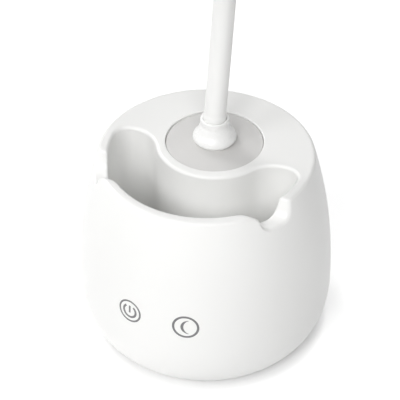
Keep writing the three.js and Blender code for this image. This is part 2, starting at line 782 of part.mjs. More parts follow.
function headShell() {
  const { waistDrop, rimDrop, mouthRadius, wall, seat, seatHeight, lensThickness, lensInset } = head;
  const dome = domeOutline(0, 9);
  dome.at(-1)[0] = 0;
  const skinProfile = [[0, -rimDrop], [mouthRadius, -rimDrop], ...dome];
  const outer = asSolid(at(turned(skinProfile, facets.head), 0, headAxis, 0));
  const inside = domeOutline(wall, 5);
  inside.at(-1)[0] = 0;
  const lensTop = lensInset + lensThickness + gap - rimDrop;
  const throat = mouthRadius - seat;
  const room = [
    [0, -rimDrop - overrun],
    [throat + seat - wall / 2, -rimDrop - overrun],
    [throat + seat - wall / 2, lensTop],
    [throat - seat, lensTop],
    [throat - seat, lensTop + seatHeight],
    [head.radius - wall, lensTop + 2 * seatHeight],
    ...inside,
  ];
  const cavity = asSolid(at(turned(room, facets.head), 0, headAxis, 0));

  const swell = collar.headFlangeRadius;
  const start = collarEnd - gap;
  const neckward = rod(swell, 0, head.stem + head.wall, facets.collar);
  const straight = asSolid(at(neckward.rotateX(PI / 2), 0, start, 0));
  const bulge = new THREE.SphereGeometry(1, facets.collar, facets.small);
  bulge.rotateX(PI / 2).scale(swell, head.fairing, swell);
  const behind = at(block(4 * swell, head.fairing, -2 * swell, 2 * swell), 0, start + head.fairing / 2, 0);
  const fairing = cut(asSolid(at(bulge, 0, headAxis + head.radius - head.wall, 0)), asSolid(behind));

  const stub = neck.stubRadius + gap;
  const stubWay = asSolid(at(rod(stub, 0, headReach, facets.small).rotateX(PI / 2), 0, 0, 0));
  const nutRoom = nut.across / 2 / cos(PI / 6) + gap;
  const nutEnd = headAxis + head.radius - wall;
  const nutWell = rod(nutRoom, 0, nut.thickness + nut.spare + 2 * gap, facets.small).rotateX(PI / 2);
  const nutWay = asSolid(at(nutWell, 0, nutEnd, 0));

  const posts = headPosts.map((a) => {
    const [x, y] = headPostPlace(a);
    const low = head.boardHeight + head.boardThickness + gap;
    return pin(head.postRadius, low, head.top - wall / 2, facets.tiny, x, y);
  });
  const pilots = headPosts.map((a) => {
    const [x, y] = headPostPlace(a);
    return pin(boardScrew.hole, -waistDrop, head.boardHeight + boardScrew.length + gap, facets.tiny, x, y);
  });
  const below = asSolid(at(block(4 * swell, 2 * headReach, -rimDrop - 2 * overrun, -rimDrop), 0, headAxis, 0));
  const skin = cut(join(outer, straight, fairing), cavity, below);
  return cut(join(skin, join(...posts).intersect(outer)), stubWay, nutWay, ...pilots);
}

function headDiffuser() {
  const { rimDrop, mouthRadius, seat, wall, lensThickness, lensInset } = head;
  const radius = mouthRadius - wall / 2 - gap;
  const low = lensInset - rimDrop;
  const high = low + lensThickness;
  const profile = [
    [0, low],
    [radius - seat, low],
    [radius, low + lensInset],
    [radius, high],
    [0, high],
  ];
  return asSolid(at(turned(profile, facets.head), 0, headAxis, 0));
}

function headBoard() {
  const low = head.boardHeight;
  const high = low + head.boardThickness;
  const plate = pin(head.board, low, high, facets.round, 0, headAxis);
  const { ledHeight, ledSize } = nightLight;
  const chips = leds(headLeds, head.board * ledCircleShare, low - ledHeight, low + gap, ledSize);
  const ways = headPosts.map((a) => {
    const [x, y] = headPostPlace(a);
    return pin(boardScrew.hole, low - overrun, high + overrun, facets.tiny, x, y);
  });
  return cut(join(plate, ...chips.map((chip) => chip.translate([0, headAxis, 0]))), ...ways);
}

const nutSeat = headReach - head.radius + head.wall + gap; // of the head's nut, from the last centre

// The neck's upper end: a ball in the last bowl, and a threaded end through the head's wall
function headRoot() {
  const clampAt = -collarEnd + gap + clampFlange.thickness;
  const end = nutSeat + nut.thickness + nut.spare;
  const profile = [
    [0, 0],
    [neck.radius, 0],
    [neck.radius, -collarEnd],
    [neck.stubRadius, -collarEnd],
    [neck.stubRadius, max(end, clampAt)],
    [0, max(end, clampAt)],
  ];
  const shaft = asSolid(turned(profile, facets.neck).rotateX(PI / 2));
  return join(shaft, asSolid(ball(neck.radius).rotateX(PI / 2)));
}

function headCollar() {
  const profile = collarProfile(-collarEnd, -1, collar.headFlangeRadius);
  return asSolid(turnedRing(profile, facets.collar).rotateX(PI / 2));
}

const headNut = () => asSolid(nutSolid(nutSeat).rotateX(PI / 2));

// The scene graph
const lamp = new THREE.Group();

function material([color, roughness, metalness]) {
  return new THREE.MeshStandardMaterial({ color, roughness, metalness });
}

function place(parent, name, solid, colour, where = [0, 0, 0]) {
  const mesh = new THREE.Mesh(asGeometry(solid), material(colour));
  mesh.name = name;
  mesh.position.set(...where);
  parent.add(mesh);
  return mesh;
}

const base = new THREE.Group();
lamp.add(base);
place(base, "base_shell", baseShell(), colours.shell);
place(base, "bottom_cover", bottomCover(), colours.nylon);
place(base, "anti_slip_pad", antiSlipPad(), colours.rubber);
place(base, "ballast_plate", ballastPlate(), colours.cast);
const coverScrewFoot = padSeat + screw.sink - gap - screw.headHeight;
for (const [k, { x, y }] of postPlaces.entries()) {
  const fastener = asSolid(screwSolid(screw, coverScrewFoot));
  place(base, `cover_screw_${k + 1}`, fastener, colours.steel, [x, y, 0]);
}
place(base, "main_board", mainBoard(), colours.board);
for (const [k, [x, y]] of standPlaces.entries()) {
  const tip = asSolid(screwSolid(boardScrew, 0).rotateX(PI));
  place(base, `board_screw_${k + 1}`, tip, colours.steel, [x, y, boardTop + gap + boardScrew.headHeight]);
}
place(base, "charging_socket", chargingSocket(), colours.steel);
place(base, "battery_cradle", batteryCradle(), colours.nylon, [0, cellSetBack, 0]);
place(base, "battery_cell", batteryCell(), colours.cellSkin, [0, cellSetBack, 0]);
place(base, "touch_pad_power", touchPad(-touchAngle), colours.copper);
place(base, "touch_pad_night", touchPad(touchAngle), colours.copper);

const foot = new THREE.Group();
foot.position.set(nightCentre.x, nightCentre.y, 0);
base.add(foot);
place(foot, "night_light_board", nightBoard(), colours.whiteBoard);
place(foot, "night_light_diffuser", nightDiffuser(), colours.diffuser);
place(foot, "neck_collar", neckCollar(), colours.collar);
place(foot, "neck_root", neckRoot(), colours.steel);
place(foot, "neck_nut", asSolid(nutSolid(cupUnder - gap - nut.thickness)), colours.steel);

for (let k = 0; k + 1 < neckCentres.length; k++)
  place(lamp, `neck_link_${k + 1}`, neckLink(k), colours.sleeve);

const last = neckCentres.at(-1);
const lampHead = new THREE.Group();
lampHead.position.set(0, last.y, last.z);
lampHead.rotation.x = last.lean - PI / 2;
lamp.add(lampHead);
place(lampHead, "head_root", headRoot(), colours.steel);
place(lampHead, "head_collar", headCollar(), colours.collar);
place(lampHead, "head_shell", headShell(), colours.shell);
place(lampHead, "head_nut", headNut(), colours.steel);
place(lampHead, "head_led_board", headBoard(), colours.whiteBoard);
place(lampHead, "head_diffuser", headDiffuser(), colours.lens);
for (const [k, a] of headPosts.entries()) {
  const [x, y] = headPostPlace(a);
  const low = head.boardHeight - gap - boardScrew.headHeight;
  const fastener = asSolid(screwSolid(boardScrew, low));
  place(lampHead, `head_screw_${k + 1}`, fastener, colours.steel, [x, y, 0]);
}

export default lamp;
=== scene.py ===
from math import acos, asin, atan, atan2, cos, degrees, pi, radians, sin, sqrt

import bmesh
import bpy
from mathutils import Matrix, Vector


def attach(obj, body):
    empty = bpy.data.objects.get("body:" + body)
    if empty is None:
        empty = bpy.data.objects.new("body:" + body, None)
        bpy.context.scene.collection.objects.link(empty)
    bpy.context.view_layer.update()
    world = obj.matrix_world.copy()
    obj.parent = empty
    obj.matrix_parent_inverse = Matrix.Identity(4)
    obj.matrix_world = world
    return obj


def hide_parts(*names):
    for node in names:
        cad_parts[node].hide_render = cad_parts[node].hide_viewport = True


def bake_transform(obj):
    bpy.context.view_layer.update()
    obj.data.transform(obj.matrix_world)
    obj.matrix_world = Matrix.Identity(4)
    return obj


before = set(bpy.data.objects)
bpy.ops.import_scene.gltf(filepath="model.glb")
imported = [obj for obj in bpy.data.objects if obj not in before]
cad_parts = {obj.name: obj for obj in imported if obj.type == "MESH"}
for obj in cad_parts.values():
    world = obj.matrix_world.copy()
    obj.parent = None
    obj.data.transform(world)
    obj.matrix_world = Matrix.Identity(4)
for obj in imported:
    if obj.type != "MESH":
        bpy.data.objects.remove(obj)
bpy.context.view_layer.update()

mm = 0.001                      # sizes below are in millimetres, meshes in metres
gap = 0.3                       # clearance between the pieces, as in the solids
overrun = 6                     # how far a cutter reaches past what it cuts
scene = bpy.context.scene

# mesh helpers
weld = dict(made=1e-7, cut=2e-6, sliver=1e-6)       # metres


def newPiece(name, points, faces):
    mesh = bpy.data.meshes.new(name)
    mesh.from_pydata([Vector(p) * mm for p in points], [], faces)
    work = bmesh.new()
    work.from_mesh(mesh)
    bmesh.ops.remove_doubles(work, verts=work.verts, dist=weld["made"])
    bmesh.ops.recalc_face_normals(work, faces=work.faces)
    work.to_mesh(mesh)
    work.free()
    piece = bpy.data.objects.new(name, mesh)
    scene.collection.objects.link(piece)
    return piece


def turnedPiece(name, profile, segments, closed=False, place=None):
    # profile of (radius, height) turned about the upright axis; closed joins its ends, for a ring
    points, rows, faces = [], [], []
    for radius, height in profile:
        count = 1 if radius < 1e-6 else segments
        rows.append([len(points) + k for k in range(count)])
        for k in range(count):
            angle = 2 * pi * k / segments
            points.append((radius * cos(angle), radius * sin(angle), height))
    pairs = list(zip(rows, rows[1:])) + ([(rows[-1], rows[0])] if closed else [])
    for low, high in pairs:
        for k in range(segments):
            n = (k + 1) % segments
            face = [low[k % len(low)], low[n % len(low)], high[n % len(high)], high[k % len(high)]]
            face = list(dict.fromkeys(face))
            if len(face) > 2:
                faces.append(face)
    if place is not None:
        points = [place @ Vector(p) for p in points]
    return newPiece(name, points, faces)


def loftedPiece(name, rings):
    count = len(rings[0])
    points = [p for ring in rings for p in ring]
    faces = []
    for r in range(len(rings) - 1):
        for k in range(count):
            a, b = r * count + k, r * count + (k + 1) % count
            faces.append((a, b, b + count, a + count))
    faces += [tuple(range(count)), tuple(range(len(points) - count, len(points)))]
    return newPiece(name, points, faces)


def prism(name, outline, low, high):
    return loftedPiece(name, [[(x, y, z) for x, y in outline] for z in (low, high)])


def arc(centre, radius, start, end, steps):
    # angles counted from the front towards +X
    angles = [start + (end - start) * k / steps for k in range(steps + 1)]
    return [(centre[0] + radius * sin(a), centre[1] - radius * cos(a)) for a in angles]


def rod(name, radius, low, high, x, y, segments):
    return prism(name, arc((x, y), radius, 0, 2 * pi, segments)[:-1], low, high)


def lipSteps(radius, steps):
    # (depth, widening) up a rounded lip, to its top
    angles = [pi / 2 * k / steps for k in range(steps + 1)]
    return [(radius * (1 - sin(a)), radius * (1 - cos(a))) for a in angles]


def spline(points, steps):
    # smooth curve through the points
    curve = []
    for k in range(len(points) - 1):
        p = [Vector(points[min(max(k + d, 0), len(points) - 1)]) for d in (-1, 0, 1, 2)]
        for s in range(steps):
            t = s / steps
            curve.append(0.5 * (2 * p[1] + (p[2] - p[0]) * t + (2 * p[0] - 5 * p[1] + 4 * p[2] - p[3]) * t * t
                                + (3 * p[1] - p[0] - 3 * p[2] + p[3]) * t ** 3))
    return [(v.x, v.y) for v in curve + [Vector(points[-1])]]


def combine(piece, operation, *others):
    for other in others:
        step = piece.modifiers.new("step", "BOOLEAN")
        step.operation = operation
        step.solver = "EXACT"
        step.object = other
        cut = piece.evaluated_get(bpy.context.evaluated_depsgraph_get())
        piece.data = bpy.data.meshes.new_from_object(cut)
        piece.modifiers.clear()
        bpy.data.objects.remove(other)
    return piece


def smoothed(piece, angle):
    # smooth shading, but for edges sharper than the angle
    work = bmesh.new()
    work.from_mesh(piece.data)
    bmesh.ops.remove_doubles(work, verts=work.verts, dist=weld["cut"])
    bmesh.ops.dissolve_degenerate(work, edges=work.edges, dist=weld["sliver"])
    work.to_mesh(piece.data)
    work.free()
    piece.data.shade_smooth()
    piece.data.set_sharp_from_angle(angle=radians(angle))
    even = piece.modifiers.new("even normals", "WEIGHTED_NORMAL")
    even.keep_sharp = True
    return piece


def finished(piece, body, slot, finish, *nodes):
    piece.data.materials.clear()
    piece.data.materials.append(finish)
    if body:
        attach(piece, body)
    if nodes:
        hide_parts(*nodes)
    return piece


# shader helpers
class Wire:
    # a socket that can stand in sums
    def __init__(self, tree, socket):
        self.tree = tree
        self.socket = socket

    def sum(self, operation, first, second):
        return self.tree.node("ShaderNodeMath", {"operation": operation}, {0: first, 1: second})

    def __add__(self, other):
        return self.sum("ADD", self, other)

    def __radd__(self, other):
        return self.sum("ADD", other, self)

    def __sub__(self, other):
        return self.sum("SUBTRACT", self, other)

    def __rsub__(self, other):
        return self.sum("SUBTRACT", other, self)

    def __mul__(self, other):
        return self.sum("MULTIPLY", self, other)

    def __rmul__(self, other):
        return self.sum("MULTIPLY", other, self)

    def __pow__(self, other):
        return self.sum("POWER", self, other)

    def maximum(self, other):
        return self.sum("MAXIMUM", self, other)


class Tree:
    def __init__(self, nodeTree):
        self.nodes = nodeTree.nodes
        self.links = nodeTree.links

    def node(self, kind, settings=None, inputs=None, output=0):
        made = self.nodes.new(kind)
        for key, value in (settings or {}).items():
            setattr(made, key, value)
        for key, value in (inputs or {}).items():
            self.feed(made, key, value)
        return Wire(self, made.outputs[output])

    def feed(self, made, key, value):
        if isinstance(value, Wire):
            self.links.new(value.socket, made.inputs[key])
        else:
            made.inputs[key].default_value = value

    def seenRay(self):
        # 1 on rays that the camera sees, straight, mirrored or through something clear
        kinds = [self.node("ShaderNodeLightPath", output=f"Is {kind} Ray")
                 for kind in ("Camera", "Glossy", "Transmission")]
        return kinds[0].maximum(kinds[1].maximum(kinds[2]))


class Finish(Tree):
    def __init__(self, name, **values):
        self.material = bpy.data.materials.new(name)
        self.material.use_nodes = True
        super().__init__(self.material.node_tree)
        self.shader = self.nodes["Principled BSDF"]
        for socket, value in values.items():
            self.set(socket.replace("_", " "), value)

    def set(self, socket, value):
        self.feed(self.shader, socket, value)

    def place(self):
        return self.node("ShaderNodeTexCoord", output="Object")

    def noise(self, scale, detail, roughness=0.55, stretch=None):
        where = self.place()
        if stretch:
            where = self.node("ShaderNodeMapping", None, {"Vector": where, "Scale": stretch})
        inputs = {"Vector": where, "Scale": scale, "Detail": detail, "Roughness": roughness}
        return self.node("ShaderNodeTexNoise", None, inputs, "Fac")

    def mix(self, amount, first, second):
        inputs = {0: amount, 6: (*first, 1), 7: (*second, 1)}
        return self.node("ShaderNodeMix", {"data_type": "RGBA"}, inputs, 2)

    def grey(self, tone):
        return self.node("ShaderNodeCombineColor", None, {0: tone, 1: tone, 2: tone})

    def bump(self, height, distance):
        inputs = {"Height": height, "Distance": distance, "Strength": 1.0}
        self.set("Normal", self.node("ShaderNodeBump", None, inputs, "Normal"))


# finishes
mould = dict(flowScale=28, fineScale=1500, wearScale=160, wearGloss=0.12, fineGloss=0.05, fineShare=0.7)


def moulded(name, light, dark, roughness, grain, **values):
    # moulded plastic or rubber: faint flow marks in the colour, uneven gloss and a fine grain
    finish = Finish(name, **values)
    flow = finish.noise(mould["flowScale"], 4)
    fine = finish.noise(mould["fineScale"], 2)
    wear = finish.noise(mould["wearScale"], 3, 0.5)
    wearGloss, fineGloss = mould["wearGloss"], mould["fineGloss"]
    evenPart = roughness - (wearGloss + fineGloss) / 2
    finish.set("Base Color", finish.mix(flow, dark, light))
    finish.set("Roughness", wear * wearGloss + fine * fineGloss + evenPart)
    finish.bump(fine * mould["fineShare"] + wear * (1 - mould["fineShare"]), grain)
    return finish.material


shellWhite = moulded("white moulded plastic", (0.935, 0.935, 0.923), (0.918, 0.918, 0.904), 0.34, 0.00002)
collarWhite = moulded("polished white plastic", (0.93, 0.93, 0.92), (0.915, 0.915, 0.905), 0.28, 0.0000025,
                      Coat_Weight=0.12, Coat_Roughness=0.12)
sleeveWhite = moulded("white silicone", (0.92, 0.92, 0.908), (0.905, 0.905, 0.89), 0.42, 0.000008)
diffuserGrey = moulded("frosted grey", (0.71, 0.702, 0.69), (0.67, 0.662, 0.65), 0.36, 0.000012,
                       Subsurface_Weight=0.35, Subsurface_Scale=0.004, Subsurface_Radius=(1, 1, 1))
opal = moulded("opal", (0.93, 0.92, 0.89), (0.91, 0.9, 0.87), 0.34, 0.00001,
               Subsurface_Weight=0.3, Subsurface_Scale=0.003, Subsurface_Radius=(1, 1, 1))
blackRubber = moulded("black rubber", (0.045, 0.045, 0.047), (0.03, 0.03, 0.032), 0.8, 0.00006)
darkNylon = moulded("dark nylon", (0.06, 0.062, 0.066), (0.045, 0.047, 0.05), 0.55, 0.00005)
castIron = moulded("cast iron", (0.12, 0.125, 0.13), (0.075, 0.08, 0.085), 0.68, 0.00012, Metallic=0.6)
cellBlue = moulded("cell sleeve", (0.05, 0.19, 0.45), (0.04, 0.15, 0.38), 0.36, 0.00001)
greyPrint = moulded("grey print", (0.2, 0.2, 0.205), (0.17, 0.17, 0.175), 0.5, 0.00001)

brush = dict(scale=180, detail=6, stretch=(1, 1, 14), gloss=0.2, depth=0.00002)


def brushed(name, light, dark, roughness):
    finish = Finish(name, Metallic=1.0)
    lines = finish.noise(brush["scale"], brush["detail"], 0.7, brush["stretch"])
    finish.set("Base Color", finish.mix(lines, dark, light))
    finish.set("Roughness", lines * brush["gloss"] + roughness)
    finish.bump(lines, brush["depth"])
    return finish.material


brightSteel = brushed("bright steel", (0.66, 0.67, 0.68), (0.48, 0.49, 0.5), 0.22)
copper = brushed("copper foil", (0.86, 0.52, 0.34), (0.7, 0.38, 0.23), 0.3)

board = dict(trackScale=240.0, trackWidth=0.06, grainScale=900, gloss=0.1, depth=0.00002)


def printedBoard(name, mask, track, roughness):
    # solder mask with a faint grid of tracks under it
    finish = Finish(name)
    inputs = {"Vector": finish.place(), "Scale": board["trackScale"], "Mortar Size": board["trackWidth"],
              "Color1": (*mask, 1), "Color2": (*mask, 1), "Mortar": (*track, 1)}
    finish.set("Base Color", finish.node("ShaderNodeTexBrick", {"offset": 0.5}, inputs))
    fine = finish.noise(board["grainScale"], 2)
    finish.set("Roughness", fine * board["gloss"] + roughness)
    finish.bump(fine, board["depth"])
    return finish.material


greenBoard = printedBoard("green board", (0.01, 0.09, 0.035), (0.02, 0.16, 0.06), 0.4)
lightBoard = printedBoard("white light board", (0.82, 0.82, 0.8), (0.74, 0.74, 0.72), 0.5)
print("finishes made")

# camera, worked out from the photograph; focal length and the lamp's axis are in its pixels
view = dict(azimuth=22.7, elevation=40.0, distance=800, aim=74.27, focal=1606.0, axisX=206.1, picture=400,
            filmWidth=36, clipStart=0.01)


def outward(azimuth, elevation):
    a, e = radians(azimuth), radians(elevation)
    return Vector((sin(a) * cos(e), -cos(a) * cos(e), sin(e)))


def setCamera():
    back = outward(view["azimuth"], view["elevation"])
    turned = radians(view["azimuth"])
    right = Vector((cos(turned), sin(turned), 0))
    aside = (view["axisX"] - view["picture"] / 2) * view["distance"] / view["focal"]
    place = Matrix((right, back.cross(right), back)).transposed().to_4x4()
    place.translation = (Vector((0, 0, view["aim"])) + back * view["distance"] - right * aside) * mm
    lens = bpy.data.cameras.new("camera")
    lens.lens = view["focal"] * view["filmWidth"] / view["picture"]
    lens.sensor_width = view["filmWidth"]
    lens.clip_start = view["clipStart"]
    camera = bpy.data.objects.new("camera", lens)
    camera.matrix_world = place
    scene.collection.objects.link(camera)
    scene.camera = camera
    scene.view_settings.view_transform = "Standard"


setCamera()

# round lamps about the base, in watts, degrees and metres
lamps = {"left light": dict(power=23.6, azimuth=-120, elevation=40),
         "window light": dict(power=13, azimuth=-35, elevation=38),
         "key light": dict(power=26.2, azimuth=0, elevation=38),
         "right light": dict(power=15.6, azimuth=30, elevation=45)}
lampSetting = dict(width=1.1, distance=2.8, target=(0, 0, 0.06))


def softLight(name, power, azimuth, elevation):
    lamp = bpy.data.lights.new(name, "AREA")
    lamp.shape = "DISK"
    lamp.size = lampSetting["width"]
    lamp.energy = power
    out = outward(azimuth, elevation)
    holder = bpy.data.objects.new(name, lamp)
    holder.location = Vector(lampSetting["target"]) + out * lampSetting["distance"]
    holder.rotation_euler = out.to_track_quat("Z", "Y").to_euler()
    scene.collection.objects.link(holder)


for name, lamp in lamps.items():
    softLight(name, **lamp)

# white room: plain white where the camera sees it, and weaker as a light
room = dict(seen=1.0, light=0.26)
world = bpy.data.worlds.new("studio")
scene.world = world
world.use_nodes = True
air = Tree(world.node_tree)
sky = air.nodes["Background"]
air.feed(sky, "Color", (1, 1, 1, 1))
air.feed(sky, "Strength", air.seenRay() * (room["seen"] - room["light"]) + room["light"])

# floor: white to the camera, with the cast shadow, and a narrow painted contact shadow where the lamp stands,
# made by ambient occlusion dimming its glow;
# its glow rises with the distance from the lamp, so it stays white to the horizon
ground = dict(half=3000, plain=0.86, seen=0.9, glow=0.45, farGlow=1.1, farFrom=0.35, farReach=0.7,
              paintedShadeReach=0.008, paintedShadePower=2)
floorFinish = Finish("white floor", Roughness=0.9, Specular_IOR_Level=0.0, Emission_Strength=1.0)
seenRay = floorFinish.seenRay()
away = floorFinish.node("ShaderNodeVectorMath", {"operation": "LENGTH"}, {0: floorFinish.place()}, "Value")
beyond = (away - ground["farFrom"]) * (1 / ground["farReach"])
far = floorFinish.node("ShaderNodeClamp", None, {"Value": beyond})
contact = {"Distance": ground["paintedShadeReach"]}
# painted shade: ambient occlusion dims the floor's glow within a few millimetres of the lamp, a painted
# contact shadow
paintedShadeOpenness = floorFinish.node("ShaderNodeAmbientOcclusion", {"samples": 8}, contact, "AO")
glow = paintedShadeOpenness ** ground["paintedShadePower"] * (far * (ground["farGlow"] - ground["glow"]) + ground["glow"])
tone = seenRay * (ground["seen"] - ground["plain"]) + ground["plain"]
floorFinish.set("Base Color", floorFinish.grey(tone))
floorFinish.set("Emission Color", floorFinish.grey(seenRay * glow))
half = ground["half"]
corners = [(-half, -half, 0), (half, -half, 0), (half, half, 0), (-half, half, 0)]
floor = newPiece("floor", corners, [(0, 1, 2, 3)])
floor.data.materials.append(floorFinish.material)
print("camera and light set")

# the moulded base: a barrel, hollow under its deck
barrel = dict(height=104.4, belly=64, bellyHeight=27.3, deckTuck=10.5, deckEdge=1.5, footTuck=15.7,
              footClear=1, wall=2.6, deck=3.2, sidePower=2.16, neckBore=4.3, boreDepth=30, segments=240)
top = barrel["height"]
deckRadius = barrel["belly"] - barrel["deckTuck"]


def sideRadius(z):
    shoulder = top - barrel["deckEdge"]
    if z > barrel["bellyHeight"]:
        climb = (z - barrel["bellyHeight"]) / (shoulder - barrel["bellyHeight"])
        return barrel["belly"] - barrel["deckTuck"] * climb ** barrel["sidePower"]
    drop = (barrel["bellyHeight"] - z) / barrel["bellyHeight"]
    return barrel["belly"] - barrel["footTuck"] * (1 - sqrt(max(0, 1 - drop ** 2)))


def barrelOutline(footSteps, sideSteps, edgeSteps):
    belly, shoulder = barrel["bellyHeight"], top - barrel["deckEdge"]
    start = acos((belly - barrel["footClear"]) / belly)
    heights = [belly * (1 - cos(start + (pi / 2 - start) * k / footSteps)) for k in range(footSteps)]
    heights += [belly + (shoulder - belly) * k / sideSteps for k in range(sideSteps)]
    profile = [(sideRadius(z), z) for z in heights]
    lean = atan(barrel["sidePower"] * barrel["deckTuck"] / (shoulder - belly))
    edge = barrel["deckEdge"] / (1 - sin(lean))
    for k in range(edgeSteps + 1):
        a = lean + (pi / 2 - lean) * k / edgeSteps
        profile.append((deckRadius + edge * (cos(a) - cos(lean)), top - edge * (1 - sin(a))))
    return profile


def hollowCutter():
    roof = top - barrel["deck"]
    outline = barrelOutline(footSteps=12, sideSteps=14, edgeSteps=1)
    inner = [(r - barrel["wall"], z) for r, z in outline if z < roof]
    foot = [(0, -overrun), (inner[0][0], -overrun)]
    head = [(sideRadius(roof) - barrel["wall"], roof), (0, roof)]
    return turnedPiece("cutter", foot + inner + head, 120)


# the night light's opening in the deck and the cup under it; seenGap and seenRise are for its disc
night = dict(setBack=10.7, radius=23.8, edgeGap=0.4, seenGap=0.2, sink=0.8, rise=2.4, seenRise=1.4,
             thickness=2, edge=0.5, edgeSteps=5, cupRadius=22, cupDepth=11.5, cupFloor=2, segments=160)
nightCentre = (0, night["setBack"])
nightOpening = night["radius"] + night["edgeGap"]
atNight = Matrix.Translation((0, night["setBack"], 0))


def nightCutter():
    ledge = top - night["sink"] - night["thickness"] - gap
    lips = lipSteps(night["edge"], night["edgeSteps"])
    profile = [(0, ledge), (nightOpening, ledge)]
    profile += [(nightOpening + wider, top - inside) for inside, wider in lips]
    profile += [(nightOpening + night["edge"], top + overrun), (0, top + overrun)]
    return turnedPiece("cutter", profile, night["segments"], place=atNight)


# the pen pocket; each end is a corner arc and a flatter arc that touches the boss round the night light
pocket = dict(rim=5.6, boss=5, floor=26, wall=2.2, lip=1.7, lipSteps=9, corner=7, angle=86, sweep=84.1)
pocketRadius = deckRadius - pocket["rim"]
bossRadius = nightOpening + pocket["boss"]
cornerAngle = radians(pocket["angle"])
cornerReach = pocketRadius - pocket["corner"]
cornerCentre = Vector((cornerReach * sin(cornerAngle), -cornerReach * cos(cornerAngle)))
turn = cornerAngle + radians(pocket["sweep"])
way = Vector((sin(turn), -cos(turn)))
cornerEnd = cornerCentre + way * pocket["corner"] - Vector(nightCentre)
flatRadius = (cornerEnd.length_squared - bossRadius ** 2) / (2 * (bossRadius + cornerEnd.dot(way)))
flatCentre = cornerCentre - way * (flatRadius - pocket["corner"])


def bearing(start, end):
    return atan2(end[0] - start[0], start[1] - end[1]) % (2 * pi)


def pocketOutline(grow):
    leave = bearing(flatCentre, nightCentre)
    front = arc((0, 0), pocketRadius + grow, -cornerAngle, cornerAngle, 96)
    corner = arc(cornerCentre, pocket["corner"] + grow, cornerAngle, turn, 20)[1:]
    flatter = arc(flatCentre, flatRadius + grow, turn, leave, 20)[1:]
    inner = arc(nightCentre, bossRadius - grow, leave - pi, pi - leave, 48)[1:]
    end = corner + flatter
    return front + end + inner + [(-x, y) for x, y in reversed(end[:-1])]


def pocketCutter():
    rings = [(pocket["floor"], 0)]
    rings += [(top - inside, wider) for inside, wider in lipSteps(pocket["lip"], pocket["lipSteps"])]
    rings += [(top + overrun, pocket["lip"])]
    return loftedPiece("cutter", [[(x, y, z) for x, y in pocketOutline(wider)] for z, wider in rings])


# the notches in the pocket's wall, seen from the side: a leaning back wall, rounded corners and crests
notch = dict(reach=29.7, width=15.7, depth=9.2, lean=20, frontCorner=3.8, backCorner=6, frontCrest=4.5,
             backCrest=2, lip=1.6, wall=2.6, lipSteps=8)
wallAt = pocketRadius - notch["reach"]


def notchOutline(grow):
    lean = radians(notch["lean"])
    fore, low = -wallAt - notch["width"], top - notch["depth"]
    frontCorner, backCorner = notch["frontCorner"], notch["backCorner"]
    frontCrest, backCrest = notch["frontCrest"], notch["backCrest"]

    def beside(away, z):        # centre of an arc that touches the leaning wall
        rise = (z - top + away * sin(lean)) / cos(lean)
        return rise * sin(lean) - wallAt + away * cos(lean), z

    def bend(y, z, radius, start, end, steps):
        angles = [start + (end - start) * k / steps for k in range(steps + 1)]
        return [(y + radius * cos(a), z + radius * sin(a)) for a in angles]

    crest = beside(backCrest, top - backCrest)
    corner = beside(-backCorner, low + backCorner)
    outline = [(fore - frontCrest, top + overrun)]
    outline += bend(fore - frontCrest, top - frontCrest, frontCrest - grow, pi / 2, 0, 14)
    outline += bend(fore + frontCorner, low + frontCorner, frontCorner + grow, pi, 1.5 * pi, 14)
    outline += bend(*corner, backCorner + grow, 1.5 * pi, 2 * pi - lean, 14)
    outline += bend(*crest, backCrest - grow, pi - lean, pi / 2, 8)
    return outline + [(crest[0], top + overrun)]


def notchCutter(side):
    # lofted outwards, and wider at both skins of the wall for their rolled lips
    lips = lipSteps(notch["lip"], notch["lipSteps"])
    skins = [(notch["lip"], lambda z: pocketRadius - overrun)]
    skins += [(wider, lambda z, inside=inside: pocketRadius + inside) for inside, wider in reversed(lips)]
    skins += [(wider, lambda z, inside=inside: sideRadius(z) - inside) for inside, wider in lips]
    skins += [(notch["lip"], lambda z: sideRadius(z) + overrun)]
    rings = []
    for wider, radius in skins:
        outline = notchOutline(wider)
        rings.append([(side * sqrt(max(0, radius(min(z, top)) ** 2 - y * y)), y, z) for y, z in outline])
    return loftedPiece("cutter", rings)


# the saddle's walls and floor close the notches towards the inside; its side is (height, measured at, inset)
saddle = dict(span=54, play=0.2, low=20, wide=60, side=((85, 85, 0.8), (95, 95, 0.8), (102.8, 102, 0.9)))
underDeck = dict(well=1.6, saddle=1.65, cup=1.7)    # tops of what is joined to the deck, no two in one plane


def notchSaddle():
    near = -wallAt + notch["wall"]
    away = -wallAt - notch["width"] - notch["wall"]
    span, low = saddle["span"], saddle["low"]
    made = prism("saddle", [(-span, near), (span, near), (span, away), (-span, away)],
                 top - notch["depth"] - notch["wall"], top - underDeck["saddle"])
    combine(made, "DIFFERENCE", rod("cutter", pocketRadius + saddle["play"], 0, top + overrun, 0, 0, 120))
    skin = [(sideRadius(measured) - inset, z) for z, measured, inset in saddle["side"]]
    skin = [(0, low), (saddle["wide"], low)] + skin + [(0, skin[-1][1])]
    return combine(made, "INTERSECT", turnedPiece("cutter", skin, 120))


# the bottom cover's place, and the screw posts above it; the front ones end in the pocket's floor
cover = dict(edgeGap=0.5, thickness=4, padInset=4)
post = dict(radius=3.5, hole=1.6, holeDepth=10, inset=8, angles=(40, 130, -130, -40), rearHeight=34)
coverRadius = sideRadius(barrel["footClear"]) - barrel["wall"] - cover["edgeGap"]
plateTop = barrel["footClear"] + cover["thickness"]


def addPosts(piece):
    circle = coverRadius - post["inset"]
    for a in (radians(v) for v in post["angles"]):
        x, y = circle * sin(a), -circle * cos(a)
        high = plateTop + post["rearHeight"] if y > 0 else pocket["floor"] - pocket["wall"] / 2
        combine(piece, "UNION", rod("post", post["radius"], plateTop + gap, high, x, y, 24))
        combine(piece, "DIFFERENCE", rod("cutter", post["hole"], 0, plateTop + post["holeDepth"], x, y, 16))


# the opening for the charging socket, in the back; its cutter runs from inside to outside
port = dict(width=9, height=3.3, boardTop=15.6, edge=0.5, edgeSteps=4, inside=45, outside=70)


